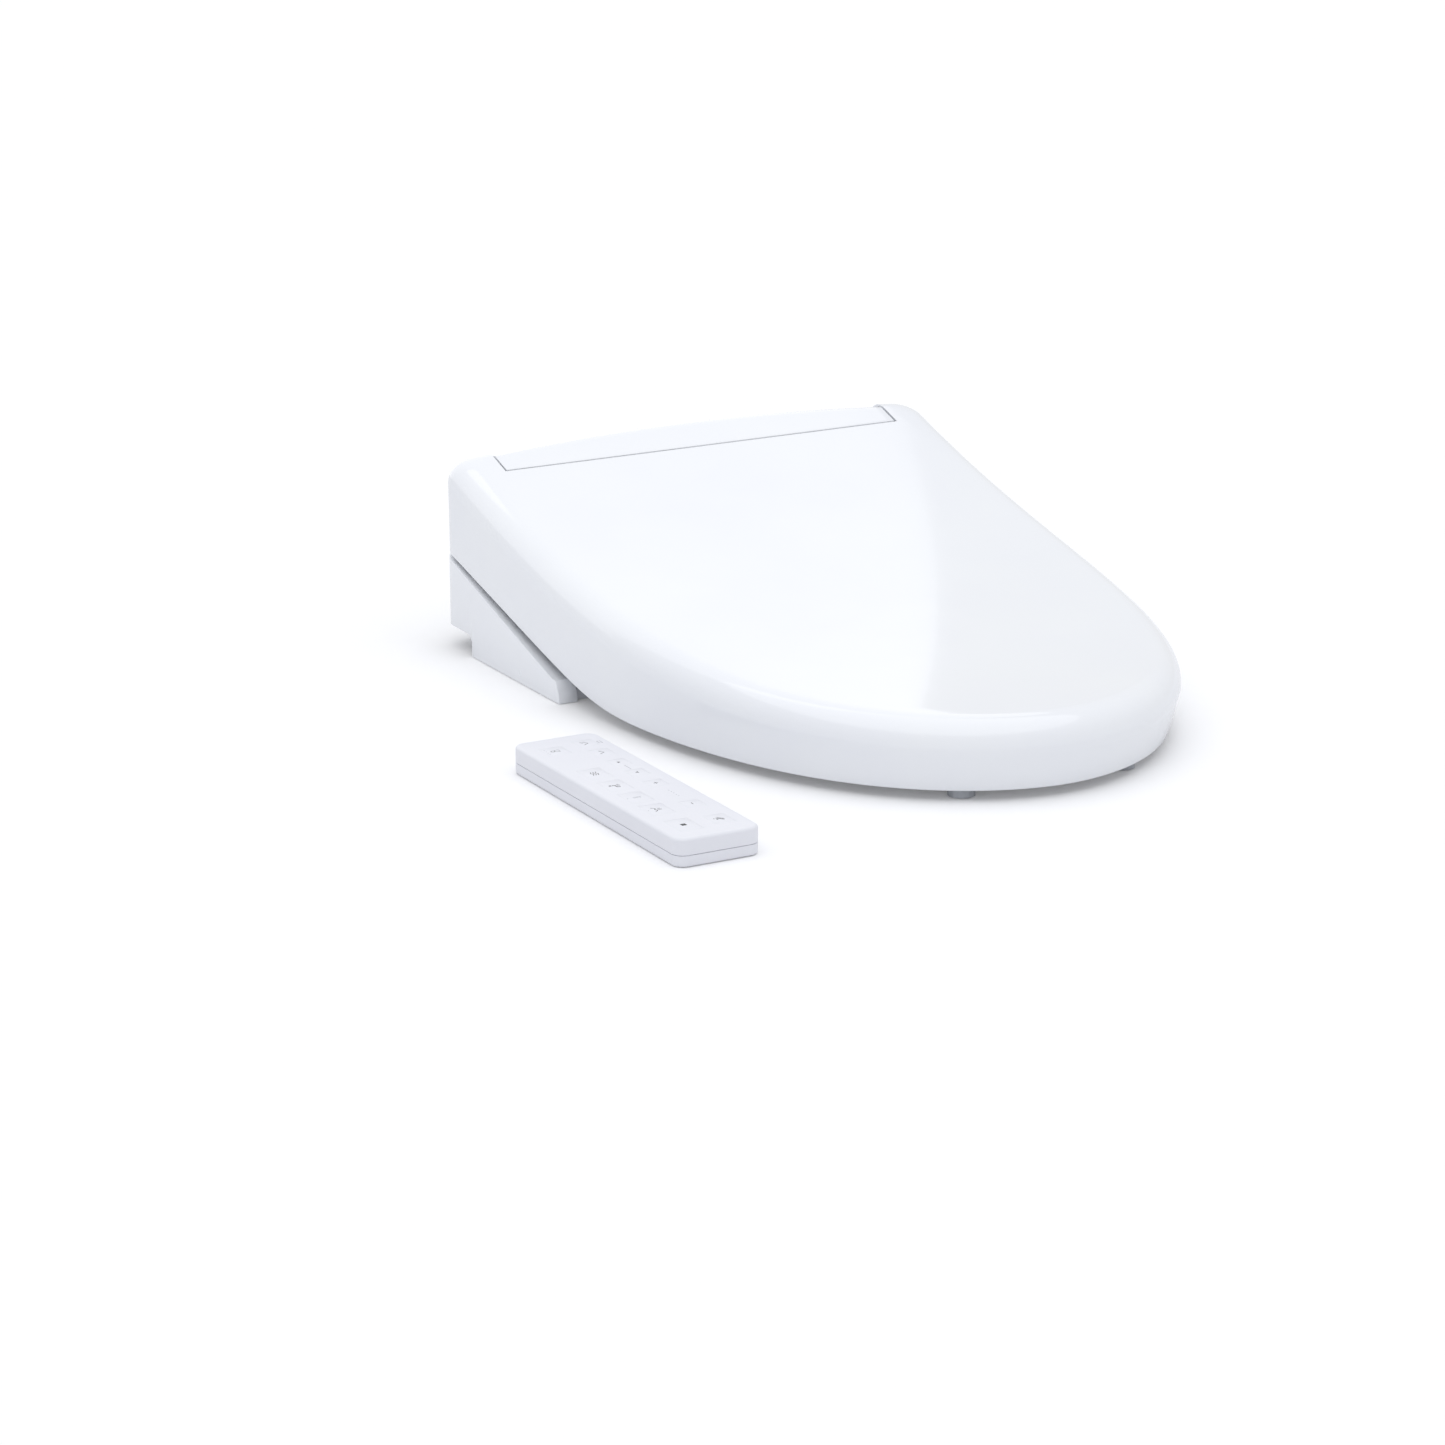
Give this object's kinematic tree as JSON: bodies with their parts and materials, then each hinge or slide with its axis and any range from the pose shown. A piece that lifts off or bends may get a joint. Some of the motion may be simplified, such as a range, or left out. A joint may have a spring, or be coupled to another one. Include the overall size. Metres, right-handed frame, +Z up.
{
  "type": "electric bidet seat",
  "caption": "Electric bidet seat with sloping one-piece lid, hinged seat, sliding spray wand, warm-air dryer, base plate and a flat remote control.",
  "frame": {"origin": "on the deck plane, midway between the two mounting bolts, at the underside of the base plate", "axes": "+Z up, -Y towards the front of the seat, +Y towards the tank, +X to the right seen from the front's opposite side, so the remote lies on -X"},
  "size_m": [0.4768, 0.532, 0.1358],
  "materials": {
    "gloss_white": "high-gloss moulded white",
    "seat_white": "soft-gloss moulded white",
    "satin_white": "satin white",
    "inner_grey": "moulded light grey",
    "dark_plastic": "moulded near-black",
    "soft_rubber": "soft grey rubber",
    "steel": "turned stainless steel",
    "foil": "bare foil",
    "board": "solder-masked board",
    "brass": "turned brass"
  },
  "bodies": {
    "unit": {"lower_casing": "gloss_white", "upper_casing": "gloss_white", "rear_top_panel": "gloss_white", "side_cover_left": "gloss_white", "side_cover_right": "gloss_white", "hinge_pin_left": "steel", "hinge_pin_right": "steel", "lid_damper": "dark_plastic", "seat_damper": "dark_plastic", "wand_guide": "inner_grey", "wand_motor": "dark_plastic", "dryer_housing": "inner_grey", "water_heater": "inner_grey", "circuit_board": "board", "power_supply": "dark_plastic", "carbon_filter": "dark_plastic", "inlet_valve": "brass", "strainer_cap": "satin_white", "cord_gland": "dark_plastic"},
    "deck_plate": {"base_plate": "inner_grey", "mounting_bolt_left": "steel", "mounting_bolt_right": "steel"},
    "seat": {"seat_bottom_shell": "seat_white", "seat_top_shell": "seat_white", "seat_heater_foil": "foil", "seat_bumper_front_left": "soft_rubber", "seat_bumper_front_right": "soft_rubber", "seat_bumper_rear_left": "soft_rubber", "seat_bumper_rear_right": "soft_rubber"},
    "lid": {"lid_shell": "gloss_white", "lid_bumper_left": "soft_rubber", "lid_bumper_right": "soft_rubber"},
    "wand": {"spray_wand": "satin_white", "wand_tip": "gloss_white"},
    "pinion": {"wand_pinion": "dark_plastic"},
    "impeller": {"dryer_impeller": "dark_plastic"},
    "flap": {"dryer_flap": "gloss_white"},
    "release": {"release_button": "satin_white"},
    "remote": {"remote_front_cover": "satin_white", "remote_back_cover": "satin_white", "battery_cell_1": "dark_plastic", "battery_cell_2": "dark_plastic"},
    "door": {"battery_door": "satin_white"},
    "key_stop": {"key_stop": "satin_white"},
    "key_rear_wash": {"key_rear_wash": "satin_white"},
    "key_soft_wash": {"key_soft_wash": "satin_white"},
    "key_front_wash": {"key_front_wash": "satin_white"},
    "key_dryer": {"key_dryer": "satin_white"},
    "key_user": {"key_user": "satin_white"},
    "key_wand_clean": {"key_wand_clean": "satin_white"},
    "key_pressure_less": {"key_pressure_less": "satin_white"},
    "key_pressure_more": {"key_pressure_more": "satin_white"},
    "key_wand_back": {"key_wand_back": "satin_white"},
    "key_wand_front": {"key_wand_front": "satin_white"},
    "key_seat_up": {"key_seat_up": "satin_white"},
    "key_lid_up": {"key_lid_up": "satin_white"}
  },
  "joints": [
    {"name": "seat_hinge", "type": "hinge", "parent": "unit", "child": "seat", "pos_m": [0, 0.028, 0.10502], "axis": [1, 0, 0], "range_deg": [-100, 0]},
    {"name": "lid_hinge", "type": "hinge", "parent": "seat", "child": "lid", "pos_m": [0, 0.028, 0.10502], "axis": [-1, 0, 0], "range_deg": [0, 108]},
    {"name": "plate_release", "type": "slide", "parent": "unit", "child": "deck_plate", "axis": [0, 1, 0], "range_m": [0, 0.05]},
    {"name": "wand_slide", "type": "slide", "parent": "unit", "child": "wand", "axis": [0, -0.9272, -0.3746], "range_m": [0, 0.06]},
    {"name": "pinion_spin", "type": "hinge", "parent": "unit", "child": "pinion", "pos_m": [0, -0.0456, 0.04633], "axis": [1, 0, 0], "range_deg": [-600, 0]},
    {"name": "impeller_spin", "type": "hinge", "parent": "unit", "child": "impeller", "pos_m": [-0.037, -0.029, 0.0358], "axis": [1, 0, 0], "continuous": true},
    {"name": "flap_hinge", "type": "hinge", "parent": "unit", "child": "flap", "pos_m": [-0.037, -0.0979, 0.0263], "axis": [-1, 0, 0], "range_deg": [0, 60]},
    {"name": "release_press", "type": "slide", "parent": "unit", "child": "release", "axis": [-1, 0, 0], "range_m": [0, 0.0015], "stiffness_N_per_m": 600},
    {"name": "remote_lift", "type": "slide", "parent": "unit", "child": "remote", "axis": [0, 0, 1], "range_m": [0, 0.25]},
    {"name": "door_release", "type": "slide", "parent": "remote", "child": "door", "axis": [0, 0, -1], "range_m": [0, 0.02]},
    {"name": "stop_press", "type": "slide", "parent": "remote", "child": "key_stop", "axis": [0, 0, -1], "range_m": [0, 0.0005], "stiffness_N_per_m": 300},
    {"name": "rear_wash_press", "type": "slide", "parent": "remote", "child": "key_rear_wash", "axis": [0, 0, -1], "range_m": [0, 0.0005], "stiffness_N_per_m": 300},
    {"name": "soft_wash_press", "type": "slide", "parent": "remote", "child": "key_soft_wash", "axis": [0, 0, -1], "range_m": [0, 0.0005], "stiffness_N_per_m": 300},
    {"name": "front_wash_press", "type": "slide", "parent": "remote", "child": "key_front_wash", "axis": [0, 0, -1], "range_m": [0, 0.0005], "stiffness_N_per_m": 300},
    {"name": "dryer_press", "type": "slide", "parent": "remote", "child": "key_dryer", "axis": [0, 0, -1], "range_m": [0, 0.0005], "stiffness_N_per_m": 300},
    {"name": "user_press", "type": "slide", "parent": "remote", "child": "key_user", "axis": [0, 0, -1], "range_m": [0, 0.0005], "stiffness_N_per_m": 300},
    {"name": "wand_clean_press", "type": "slide", "parent": "remote", "child": "key_wand_clean", "axis": [0, 0, -1], "range_m": [0, 0.0005], "stiffness_N_per_m": 300},
    {"name": "pressure_less_press", "type": "slide", "parent": "remote", "child": "key_pressure_less", "axis": [0, 0, -1], "range_m": [0, 0.0005], "stiffness_N_per_m": 300},
    {"name": "pressure_more_press", "type": "slide", "parent": "remote", "child": "key_pressure_more", "axis": [0, 0, -1], "range_m": [0, 0.0005], "stiffness_N_per_m": 300},
    {"name": "wand_back_press", "type": "slide", "parent": "remote", "child": "key_wand_back", "axis": [0, 0, -1], "range_m": [0, 0.0005], "stiffness_N_per_m": 300},
    {"name": "wand_front_press", "type": "slide", "parent": "remote", "child": "key_wand_front", "axis": [0, 0, -1], "range_m": [0, 0.0005], "stiffness_N_per_m": 300},
    {"name": "seat_up_press", "type": "slide", "parent": "remote", "child": "key_seat_up", "axis": [0, 0, -1], "range_m": [0, 0.0005], "stiffness_N_per_m": 300},
    {"name": "lid_up_press", "type": "slide", "parent": "remote", "child": "key_lid_up", "axis": [0, 0, -1], "range_m": [0, 0.0005], "stiffness_N_per_m": 300}
  ],
  "couplings": [
    {"joint": "pinion_spin", "follows": "wand_slide", "rad_per_m": -166.67}
  ]
}
